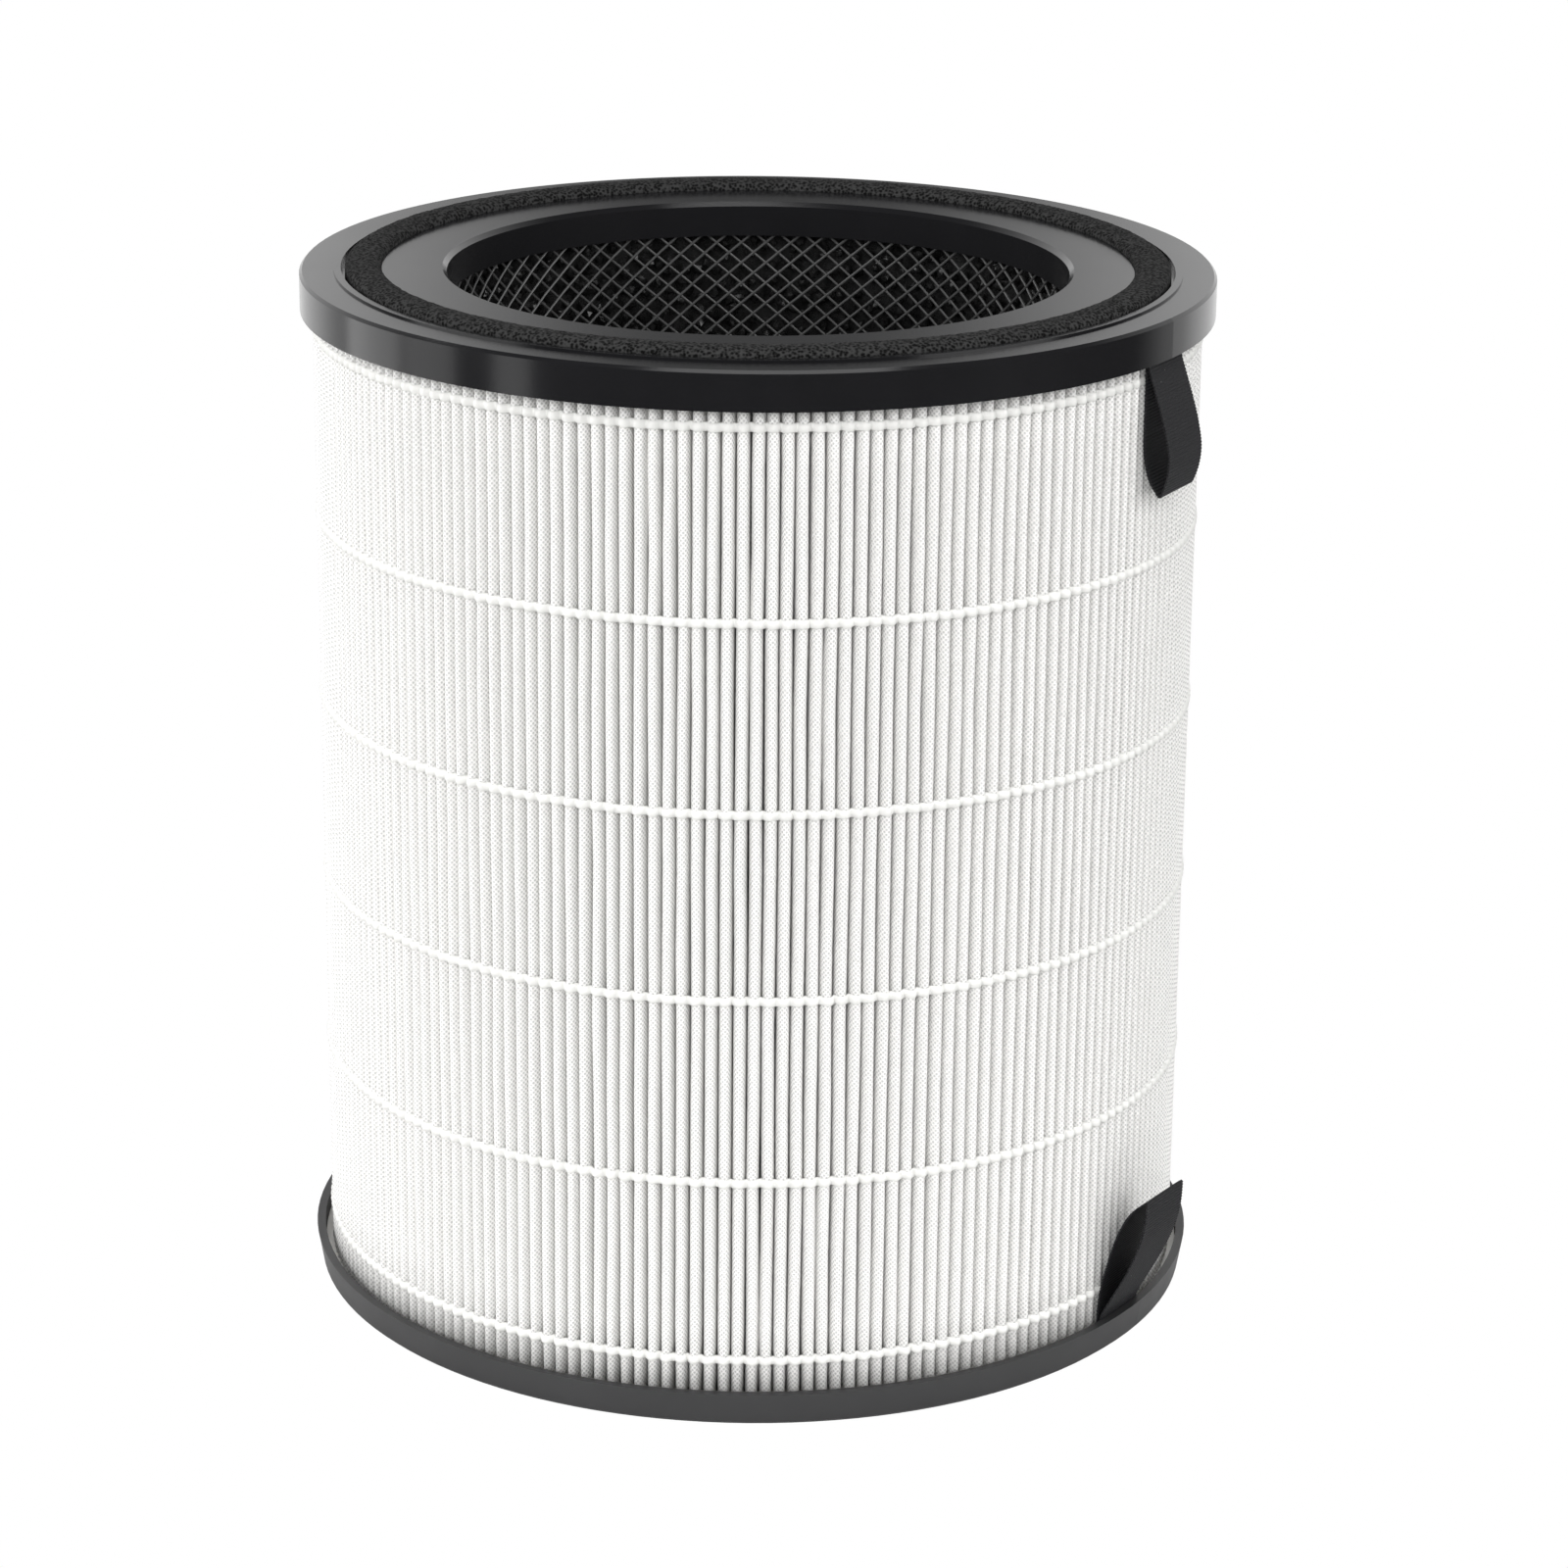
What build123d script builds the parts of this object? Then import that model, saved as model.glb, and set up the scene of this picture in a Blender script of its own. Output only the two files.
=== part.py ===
from build123d import *

import os
from math import cos, degrees, radians, sin

os.makedirs("parts", exist_ok=True)

# Cylindrical air purifier filter. A sheet of white media, folded into pleats, stands round a bed
# of carbon granules that two nets hold. A moulded cap is glued over each end. The upper one is
# open in the middle and carries a foam gasket, and a ribbon pull tab hangs out of each cap.
# Lengths are in millimetres. Height zero is the underside of the lower cap, the filter's axis
# is Z, and both pull tabs are on the +X side.

# Whole filter
filter_height = 289.0
opening_radius = 85.0
cap_width = 40.0
cap_radius = opening_radius + cap_width

# Upper cap: a flat ring with a skirt outside, a collar inside and a groove for the gasket
plate_thickness = 3.2
skirt_height = 10.6
skirt_wall = 1.4
collar_depth = 9.8
collar_wall = 1.4
rim_edge_bevel = 0.8
opening_edge_bevel = 1.2
inner_land = 17.6
groove_width = 11.1
groove_depth = 1.6
ridge_width = 2.0
ridge_height = 0.5

# Gasket: a strip of foam against the inner side of its groove, with bevelled upper edges
gasket_width = 9.9
gasket_rise = 2.8
gasket_bevel = 2.4
gasket_clearance = 0.1

# Lower cap: a closed tray whose wall leans outwards to a lip
base_height = 9.4
base_floor = 2.4
base_lip_overhang = 1.0
base_draft = 1.6
base_edge_bevel = 1.0
upstand_height = 6.0

# Glue that the ends of every layer stand in
glue_depth = 2.8
glue_clearance = 0.2

# Layers, from the opening outwards
layer_clearance = 0.2
net_thickness = 0.8
net_columns = 24
net_rows = 5
net_strand = 5.0
carbon_thickness = 7.8
sleeve_thickness = 0.6
pleat_count = 198
media_thickness = 0.5
pleat_to_skirt = 2.1

# Glue beads that hold the pleats apart, each a ring of straight bridges over a few pleats
bead_count = 6
pleats_per_bridge = 3
bead_height = 2.5
bead_thickness = 0.2
bead_clearance = 0.1
bead_gap_below_skirt = 5.0
bead_gap_above_lip = 7.6

# Pull tabs: a ribbon folded double, with both ends inside the cap
ribbon_width = 20.0
ribbon_thickness = 0.55
ribbon_gap = 0.05
ribbon_clearance = 0.05
upper_tab_drop = 35.0
upper_tab_bulge = 6.4
lower_tab_rise = 38.6
lower_tab_reach = 14.4
lower_tab_turn = 4.1
tab_fold_radius = 0.45
tab_bend_radius = 4.0

# Heights that follow
cap_top = filter_height
plate_underside = cap_top - plate_thickness
skirt_bottom = cap_top - skirt_height
collar_bottom = cap_top - collar_depth
layers_top = plate_underside - glue_depth
layers_bottom = base_floor + glue_depth
layers_height = layers_top - layers_bottom
lowest_bead = base_height + bead_gap_above_lip
highest_bead = skirt_bottom - bead_gap_below_skirt
bead_pitch = (highest_bead - lowest_bead) / (bead_count - 1)

# Radii that follow
skirt_inner = cap_radius - skirt_wall
collar_outer = opening_radius + collar_wall
groove_inner = opening_radius + inner_land
groove_outer = groove_inner + groove_width
ridge_outer = groove_outer + ridge_width
base_lip_radius = cap_radius + base_lip_overhang
base_foot_radius = base_lip_radius - base_draft
glue_inner = collar_outer + glue_clearance
glue_outer = skirt_inner - glue_clearance
net_inner = collar_outer + layer_clearance
net_outer = net_inner + net_thickness
carbon_inner = net_outer + layer_clearance
carbon_outer = carbon_inner + carbon_thickness
sleeve_inner = carbon_outer + layer_clearance
sleeve_outer = sleeve_inner + sleeve_thickness
pleat_root = sleeve_outer + layer_clearance
pleat_tip = skirt_inner - pleat_to_skirt
bead_inner = pleat_tip + bead_clearance
bead_outer = bead_inner + bead_thickness


# Upper cap, turned from its half section
with BuildPart() as top_end_cap:
    with BuildSketch(Plane.XZ):
        with BuildLine():
            Polyline(
                (opening_radius, collar_bottom),
                (opening_radius, cap_top),
                (groove_inner, cap_top),
                (groove_inner, cap_top - groove_depth),
                (groove_outer, cap_top - groove_depth),
                (groove_outer, cap_top + ridge_height),
                (ridge_outer, cap_top + ridge_height),
                (ridge_outer, cap_top),
                (cap_radius, cap_top),
                (cap_radius, skirt_bottom),
                (skirt_inner, skirt_bottom),
                (skirt_inner, plate_underside),
                (collar_outer, plate_underside),
                (collar_outer, collar_bottom),
                close=True,
            )
        make_face()
    revolve(axis=Axis.Z)
    cap_circles = top_end_cap.edges().filter_by(GeomType.CIRCLE).group_by(SortBy.RADIUS)
    chamfer(cap_circles[0].sort_by(Axis.Z)[-1], length=opening_edge_bevel)
    chamfer(cap_circles[-1].sort_by(Axis.Z)[-1], length=rim_edge_bevel)
top_end_cap.part.label = "top_end_cap"
export_step(top_end_cap.part, "parts/top_end_cap.step")

# Foam gasket, standing on the floor of its groove
gasket_inner = groove_inner + gasket_clearance
with BuildPart() as foam_gasket:
    with BuildSketch(Plane.XY.offset(cap_top - groove_depth)):
        Circle(gasket_inner + gasket_width)
        Circle(gasket_inner, mode=Mode.SUBTRACT)
    extrude(amount=groove_depth + gasket_rise)
    gasket_top = foam_gasket.faces().sort_by(Axis.Z)[-1]
    chamfer(gasket_top.edges(), length=gasket_bevel)
foam_gasket.part.label = "foam_gasket"
export_step(foam_gasket.part, "parts/foam_gasket.step")

# Lower cap, turned from its half section
with BuildPart() as bottom_end_cap:
    with BuildSketch(Plane.XZ):
        with BuildLine():
            Polyline(
                (0, 0),
                (base_foot_radius, 0),
                (base_lip_radius, base_height),
                (skirt_inner, base_height),
                (skirt_inner, base_floor),
                (collar_outer, base_floor),
                (collar_outer, base_floor + upstand_height),
                (opening_radius, base_floor + upstand_height),
                (opening_radius, base_floor),
                (0, base_floor),
                close=True,
            )
        make_face()
    revolve(axis=Axis.Z)
    foot_edge = bottom_end_cap.edges().filter_by(GeomType.CIRCLE).sort_by(Axis.Z)[0]
    chamfer(foot_edge, length=base_edge_bevel)
bottom_end_cap.part.label = "bottom_end_cap"
export_step(bottom_end_cap.part, "parts/bottom_end_cap.step")

# Rings of set glue between each cap and the ends of the layers
with BuildPart() as top_adhesive:
    with BuildSketch(Plane.XY.offset(layers_top)):
        Circle(glue_outer)
        Circle(glue_inner, mode=Mode.SUBTRACT)
    extrude(amount=glue_depth)
top_adhesive.part.label = "top_adhesive"
export_step(top_adhesive.part, "parts/top_adhesive.step")

with BuildPart() as bottom_adhesive:
    with BuildSketch(Plane.XY.offset(base_floor)):
        Circle(glue_outer)
        Circle(glue_inner, mode=Mode.SUBTRACT)
    extrude(amount=glue_depth)
bottom_adhesive.part.label = "bottom_adhesive"
export_step(bottom_adhesive.part, "parts/bottom_adhesive.step")

# Inner net: a tube with staggered columns of diamond gaps between crossing strands
column_angle = 360 / net_columns
row_height = layers_height / (net_rows + 0.5)
gap_width = 2 * net_inner * sin(radians(column_angle)) - net_strand
gap_height = row_height - net_strand
with BuildPart() as inner_net:
    with BuildSketch(Plane.XY.offset(layers_bottom)):
        Circle(net_outer)
        Circle(net_inner, mode=Mode.SUBTRACT)
    extrude(amount=layers_height)
    for column in range(net_columns):
        lowest_gap = layers_bottom + row_height * (0.5 + 0.5 * (column % 2))
        turn = radians(column * column_angle)
        outwards = (cos(turn), sin(turn), 0)
        sideways = (-sin(turn), cos(turn), 0)
        with BuildSketch(Plane(origin=(0, 0, lowest_gap), x_dir=sideways, z_dir=outwards)):
            for row in range(net_rows):
                with Locations((0, row * row_height)):
                    with BuildLine():
                        Polyline(
                            (gap_width / 2, 0),
                            (0, gap_height / 2),
                            (-gap_width / 2, 0),
                            (0, -gap_height / 2),
                            close=True,
                        )
                    make_face()
    extrude(amount=net_outer + net_thickness, mode=Mode.SUBTRACT)
inner_net.part.label = "inner_net"
export_step(inner_net.part, "parts/inner_net.step")

# Bed of carbon granules, and the sleeve that keeps them off the pleats
with BuildPart() as carbon_bed:
    with BuildSketch(Plane.XY.offset(layers_bottom)):
        Circle(carbon_outer)
        Circle(carbon_inner, mode=Mode.SUBTRACT)
    extrude(amount=layers_height)
carbon_bed.part.label = "carbon_bed"
export_step(carbon_bed.part, "parts/carbon_bed.step")

with BuildPart() as carbon_sleeve:
    with BuildSketch(Plane.XY.offset(layers_bottom)):
        Circle(sleeve_outer)
        Circle(sleeve_inner, mode=Mode.SUBTRACT)
    extrude(amount=layers_height)
carbon_sleeve.part.label = "carbon_sleeve"
export_step(carbon_sleeve.part, "parts/carbon_sleeve.step")


def on_circle(radius, angle):
    """The point at this radius and at this angle in degrees."""
    return (radius * cos(radians(angle)), radius * sin(radians(angle)))


# Pleated sheet: outside each fold is a flat of two sheet thicknesses, and inside it is sharp
pleat_angle = 360 / pleat_count
tip_flat = degrees(media_thickness / pleat_tip)
root_flat = degrees(media_thickness / pleat_root)
outer_side = []
inner_side = []
for pleat in range(pleat_count):
    tip_at = pleat * pleat_angle
    root_at = tip_at + pleat_angle / 2
    outer_side.append(on_circle(pleat_tip, tip_at - tip_flat))
    outer_side.append(on_circle(pleat_tip, tip_at + tip_flat))
    outer_side.append(on_circle(pleat_root + media_thickness, root_at))
    inner_side.append(on_circle(pleat_tip - media_thickness, tip_at))
    inner_side.append(on_circle(pleat_root, root_at - root_flat))
    inner_side.append(on_circle(pleat_root, root_at + root_flat))
with BuildPart() as pleated_media:
    with BuildSketch(Plane.XY.offset(layers_bottom)):
        with BuildLine():
            Polyline(*outer_side, close=True)
        make_face()
        with BuildLine():
            Polyline(*inner_side, close=True)
        make_face(mode=Mode.SUBTRACT)
    extrude(amount=layers_height)
pleated_media.part.label = "pleated_media"
export_step(pleated_media.part, "parts/pleated_media.step")

# Glue beads, evenly spaced up the pleats
bridge_count = round(pleat_count / pleats_per_bridge)
bead_corner = bead_outer / cos(radians(180 / bridge_count))
for number in range(bead_count):
    bead_middle = lowest_bead + number * bead_pitch
    with BuildPart() as spacer_bead:
        with BuildSketch(Plane.XY.offset(bead_middle - bead_height / 2)):
            RegularPolygon(bead_outer, bridge_count, major_radius=False)
            RegularPolygon(bead_inner, bridge_count, major_radius=False, mode=Mode.SUBTRACT)
        extrude(amount=bead_height)
    spacer_bead.part.label = f"spacer_bead_{number + 1}"
    export_step(spacer_bead.part, f"parts/spacer_bead_{number + 1}.step")

# Middle lines of the ribbon's two layers where they pass between the pleats and the cap
inner_layer = bead_corner + ribbon_clearance + ribbon_thickness / 2
outer_layer = inner_layer + ribbon_thickness + ribbon_gap
upper_tab_end = layers_top - ribbon_thickness / 2
lower_tab_end = layers_bottom + ribbon_thickness / 2


def ribbon_loop(path, fold, turn):
    """A ribbon along this path of (radius, height), folded at one point and turned about Z."""
    bends = [tab_bend_radius] * (len(path) - 2)
    bends[fold - 1] = tab_fold_radius
    with BuildPart() as loop:
        with BuildSketch(Plane.XZ.rotated((0, 0, turn))):
            with BuildLine():
                FilletPolyline(*path, radius=bends)
                offset(amount=ribbon_thickness / 2, kind=Kind.INTERSECTION, side=Side.BOTH)
            make_face()
        extrude(amount=ribbon_width / 2, both=True)
    return loop.part


upper_tab = ribbon_loop(
    [
        (inner_layer, upper_tab_end),
        (inner_layer, skirt_bottom - 0.72 * upper_tab_drop),
        (inner_layer + 0.25 * upper_tab_bulge, skirt_bottom - 0.9 * upper_tab_drop),
        (inner_layer + 0.85 * upper_tab_bulge, skirt_bottom - upper_tab_drop),
        (inner_layer + upper_tab_bulge, skirt_bottom - 0.7 * upper_tab_drop),
        (inner_layer + 0.85 * upper_tab_bulge, skirt_bottom - 0.5 * upper_tab_drop),
        (outer_layer, skirt_bottom - 0.05 * upper_tab_drop),
        (outer_layer, upper_tab_end),
    ],
    fold=3,
    turn=0,
)
upper_tab.label = "top_pull_tab"
export_step(upper_tab, "parts/top_pull_tab.step")

lower_tab = ribbon_loop(
    [
        (inner_layer, lower_tab_end),
        (inner_layer, base_height + 0.05 * lower_tab_rise),
        (inner_layer + 0.37 * lower_tab_reach, base_height + 0.55 * lower_tab_rise),
        (inner_layer + 0.6 * lower_tab_reach, base_height + 0.82 * lower_tab_rise),
        (inner_layer + lower_tab_reach, base_height + lower_tab_rise),
        (inner_layer + 0.93 * lower_tab_reach, base_height + 0.8 * lower_tab_rise),
        (inner_layer + 0.58 * lower_tab_reach, base_height + 0.45 * lower_tab_rise),
        (outer_layer, base_height + 0.03 * lower_tab_rise),
        (outer_layer, lower_tab_end),
    ],
    fold=4,
    turn=-lower_tab_turn,
)
lower_tab.label = "bottom_pull_tab"
export_step(lower_tab, "parts/bottom_pull_tab.step")
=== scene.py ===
import math

import bpy
import mathutils
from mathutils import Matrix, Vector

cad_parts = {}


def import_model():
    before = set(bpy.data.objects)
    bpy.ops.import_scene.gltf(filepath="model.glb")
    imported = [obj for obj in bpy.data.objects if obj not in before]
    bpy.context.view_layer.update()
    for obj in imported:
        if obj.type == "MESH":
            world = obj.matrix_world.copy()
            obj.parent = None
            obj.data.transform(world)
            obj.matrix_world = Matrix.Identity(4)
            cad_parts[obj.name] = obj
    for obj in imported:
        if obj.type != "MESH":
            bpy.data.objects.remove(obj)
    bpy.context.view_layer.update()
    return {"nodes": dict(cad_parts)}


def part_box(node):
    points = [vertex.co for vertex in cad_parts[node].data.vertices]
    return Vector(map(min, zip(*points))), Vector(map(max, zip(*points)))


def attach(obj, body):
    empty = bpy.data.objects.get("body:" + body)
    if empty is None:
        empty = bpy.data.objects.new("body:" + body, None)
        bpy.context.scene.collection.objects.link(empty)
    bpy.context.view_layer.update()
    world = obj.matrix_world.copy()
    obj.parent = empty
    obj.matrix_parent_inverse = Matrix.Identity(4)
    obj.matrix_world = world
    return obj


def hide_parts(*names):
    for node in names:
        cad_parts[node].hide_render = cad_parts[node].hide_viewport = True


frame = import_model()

# The filter stands on its lower cap, with its axis on Z and its pull tabs on the +X side.
# Lengths are in metres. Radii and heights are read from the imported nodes.

MILLIMETRE = 0.001


def radius_of(node):
    """The outer radius of a round node on the axis."""
    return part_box(node)[1].x


def heights_of(node):
    """The lowest and highest point of a node."""
    low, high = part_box(node)
    return low.z, high.z


MEDIA_BOTTOM, MEDIA_TOP = heights_of("pleated_media")
PLEAT_TIP = radius_of("pleated_media")
SLEEVE_OUTER = radius_of("carbon_sleeve")
CARBON_OUTER = radius_of("carbon_bed")
NET_OUTER = radius_of("inner_net")
CAP_RADIUS = radius_of("top_end_cap")
SKIRT_BOTTOM = heights_of("top_end_cap")[0]
BASE_TOP = heights_of("bottom_end_cap")[1]
GASKET_BOTTOM, GASKET_TOP = heights_of("foam_gasket")
GASKET_OUTER = radius_of("foam_gasket")

PLEAT_COUNT = 198
MEDIA_THICKNESS = 0.5 * MILLIMETRE
NET_THICKNESS = 0.8 * MILLIMETRE
NET_STRANDS = 76
GASKET_WIDTH = 9.9 * MILLIMETRE


# Materials

def new_material(name):
    """An empty node material with a Principled surface, and its node tree."""
    material = bpy.data.materials.new(name)
    material.use_nodes = True
    return material, material.node_tree


def add(tree, kind, **values):
    """A new node with its inputs set by name."""
    node = tree.nodes.new(kind)
    for name, value in values.items():
        node.inputs[name.replace("_", " ")].default_value = value
    return node


def surface(tree):
    """The tree's Principled shader."""
    return tree.nodes["Principled BSDF"]


def object_coordinates(tree):
    """The output that gives the place on the object."""
    return tree.nodes.new("ShaderNodeTexCoord").outputs["Object"]


def noise(tree, vector, scale, detail=3.0, roughness=0.55):
    """A noise value over the given coordinates."""
    node = add(tree, "ShaderNodeTexNoise", Scale=scale, Detail=detail, Roughness=roughness)
    tree.links.new(vector, node.inputs["Vector"])
    return node.outputs["Fac"]


def ramp(tree, value, stops):
    """A colour ramp of (place, grey or colour) stops."""
    node = tree.nodes.new("ShaderNodeValToRGB")
    elements = node.color_ramp.elements
    while len(elements) < len(stops):
        elements.new(0.5)
    for element, (place, colour) in zip(elements, stops):
        element.position = place
        if not hasattr(colour, "__len__"):
            colour = (colour, colour, colour)
        element.color = (*colour, 1.0)
    tree.links.new(value, node.inputs["Fac"])
    return node.outputs["Color"]


def remap(tree, value, low, high):
    """The value, which runs from 0 to 1, moved to the range low to high."""
    node = tree.nodes.new("ShaderNodeMapRange")
    node.inputs["To Min"].default_value = low
    node.inputs["To Max"].default_value = high
    tree.links.new(value, node.inputs["Value"])
    return node.outputs["Result"]


def bump(tree, height, distance, strength=1.0, normal=None):
    """A bump of this height in metres, on top of another bump if one is given."""
    node = add(tree, "ShaderNodeBump", Distance=distance, Strength=strength)
    tree.links.new(height, node.inputs["Height"])
    if normal is not None:
        tree.links.new(normal, node.inputs["Normal"])
    return node.outputs["Normal"]


def moulded_plastic(name, colour, gloss, grain):
    """Black moulded plastic: gloss is its roughness, grain the height of its fine waviness."""
    material, tree = new_material(name)
    place = object_coordinates(tree)
    shader = surface(tree)
    mottle = noise(tree, place, 60.0)
    low = tuple(0.85 * part for part in colour)
    tree.links.new(ramp(tree, mottle, [(0.3, low), (0.7, colour)]), shader.inputs["Base Color"])
    smears = noise(tree, place, 35.0, detail=5.0)
    tree.links.new(remap(tree, smears, 0.8 * gloss, 1.25 * gloss), shader.inputs["Roughness"])
    fine = noise(tree, place, 1400.0, detail=2.0)
    tree.links.new(bump(tree, fine, grain, 0.4), shader.inputs["Normal"])
    return material


def mesh_paper():
    """White filter media: a fine diagonal dotted web over soft fibres."""
    material, tree = new_material("pleated_media_paper")
    shader = surface(tree)
    uv = tree.nodes.new("ShaderNodeUVMap")
    uv.uv_map = "sheet"
    turn = add(tree, "ShaderNodeMapping")
    turn.inputs["Rotation"].default_value = (0.0, 0.0, math.radians(45.0))
    tree.links.new(uv.outputs["UV"], turn.inputs["Vector"])
    dots = add(tree, "ShaderNodeTexVoronoi", Scale=1.0 / (0.95 * MILLIMETRE), Randomness=0.1)
    tree.links.new(turn.outputs["Vector"], dots.inputs["Vector"])
    web = ramp(tree, dots.outputs["Distance"], [(0.2, 0.0), (0.5, 1.0)])
    fibres = noise(tree, object_coordinates(tree), 700.0, detail=4.0)
    tint = ramp(tree, fibres, [(0.3, (0.88, 0.873, 0.855)), (0.7, (0.93, 0.924, 0.905))])
    pale = add(tree, "ShaderNodeMix")
    pale.data_type = "RGBA"
    pale.blend_type = "MULTIPLY"
    pale.inputs["Factor"].default_value = 0.42
    tree.links.new(tint, pale.inputs["A"])
    tree.links.new(web, pale.inputs["B"])
    tree.links.new(pale.outputs["Result"], shader.inputs["Base Color"])
    rough = bump(tree, fibres, 0.05 * MILLIMETRE, 0.5)
    tree.links.new(bump(tree, web, 0.08 * MILLIMETRE, 0.6, rough), shader.inputs["Normal"])
    shader.inputs["Roughness"].default_value = 0.8
    shader.inputs["Subsurface Weight"].default_value = 0.5
    shader.inputs["Subsurface Radius"].default_value = (1.0, 1.0, 1.0)
    shader.inputs["Subsurface Scale"].default_value = 3.0 * MILLIMETRE
    return material


def hot_glue(name, colour):
    """Pale set glue: smooth, slightly waxy."""
    material, tree = new_material(name)
    shader = surface(tree)
    place = object_coordinates(tree)
    cloud = noise(tree, place, 150.0)
    dark = tuple(0.93 * part for part in colour)
    tree.links.new(ramp(tree, cloud, [(0.3, dark), (0.7, colour)]), shader.inputs["Base Color"])
    tree.links.new(bump(tree, cloud, 0.1 * MILLIMETRE, 0.5), shader.inputs["Normal"])
    shader.inputs["Roughness"].default_value = 0.42
    return material


def foam():
    """Open black foam: fine cells, painted near black in their hollows and lighter on their walls, as painted
    shade in the pores.
    """
    material, tree = new_material("foam_gasket_cells")
    shader = surface(tree)
    place = object_coordinates(tree)
    cells = add(tree, "ShaderNodeTexVoronoi", Scale=1150.0)
    tree.links.new(place, cells.inputs["Vector"])
    # Painted shade: the cell hollows, which the bump below sinks into pores, are painted darker than the cell
    # walls.
    pore_shade = ramp(tree, cells.outputs["Distance"], [(0.3, 0.002), (0.7, 0.035)])
    tree.links.new(pore_shade, shader.inputs["Base Color"])
    fine = noise(tree, place, 2500.0, detail=3.0)
    pores = bump(tree, cells.outputs["Distance"], 0.35 * MILLIMETRE, 0.9)
    tree.links.new(bump(tree, fine, 0.15 * MILLIMETRE, 0.6, pores), shader.inputs["Normal"])
    shader.inputs["Roughness"].default_value = 1.0
    shader.inputs["Specular IOR Level"].default_value = 0.15
    return material


def grosgrain():
    """Black ribbon with fine ribs across it, and a few specks of white lint."""
    material, tree = new_material("grosgrain_ribbon")
    shader = surface(tree)
    uv = tree.nodes.new("ShaderNodeUVMap")
    uv.uv_map = "ribbon"
    along = tree.nodes.new("ShaderNodeSeparateXYZ")
    tree.links.new(uv.outputs["UV"], along.inputs["Vector"])
    ribs = tree.nodes.new("ShaderNodeMath")
    ribs.operation = "PINGPONG"
    ribs.inputs[1].default_value = 0.45 * MILLIMETRE
    tree.links.new(along.outputs["Y"], ribs.inputs[0])
    lift = tree.nodes.new("ShaderNodeMath")
    lift.operation = "DIVIDE"
    lift.inputs[1].default_value = 0.45 * MILLIMETRE
    tree.links.new(ribs.outputs["Value"], lift.inputs[0])
    yarn = noise(tree, uv.outputs["UV"], 1800.0, detail=2.0)
    shade = ramp(tree, yarn, [(0.3, (0.008, 0.008, 0.009)), (0.75, (0.024, 0.024, 0.026))])
    lint = ramp(tree, noise(tree, uv.outputs["UV"], 420.0, detail=1.0), [(0.80, 0.0), (0.83, 1.0)])
    mix = add(tree, "ShaderNodeMix")
    mix.data_type = "RGBA"
    mix.inputs["B"].default_value = (0.6, 0.6, 0.6, 1.0)
    tree.links.new(lint, mix.inputs["Factor"])
    tree.links.new(shade, mix.inputs["A"])
    tree.links.new(mix.outputs["Result"], shader.inputs["Base Color"])
    weave = bump(tree, yarn, 0.06 * MILLIMETRE, 0.5)
    tree.links.new(bump(tree, lift.outputs["Value"], 0.12 * MILLIMETRE, 0.8, weave),
                   shader.inputs["Normal"])
    shader.inputs["Roughness"].default_value = 0.7
    shader.inputs["Specular IOR Level"].default_value = 0.2
    return material


def granule():
    """Carbon granules: near black, each with its own shade, and facets that glint."""
    material, tree = new_material("carbon_granule")
    shader = surface(tree)
    place = object_coordinates(tree)
    shade = ramp(tree, noise(tree, place, 260.0), [(0.3, 0.003), (0.7, 0.02)])
    tree.links.new(shade, shader.inputs["Base Color"])
    tree.links.new(remap(tree, noise(tree, place, 400.0), 0.1, 0.4), shader.inputs["Roughness"])
    tree.links.new(bump(tree, noise(tree, place, 2200.0), 0.1 * MILLIMETRE, 0.6),
                   shader.inputs["Normal"])
    return material


def nonwoven():
    """Grey-white nonwoven cloth of the sleeve."""
    material, tree = new_material("carbon_sleeve_cloth")
    shader = surface(tree)
    fibres = noise(tree, object_coordinates(tree), 500.0, detail=5.0)
    tree.links.new(ramp(tree, fibres, [(0.3, 0.42), (0.7, 0.6)]), shader.inputs["Base Color"])
    tree.links.new(bump(tree, fibres, 0.2 * MILLIMETRE, 0.5), shader.inputs["Normal"])
    shader.inputs["Roughness"].default_value = 0.9
    return material


# Geometry Nodes

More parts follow.
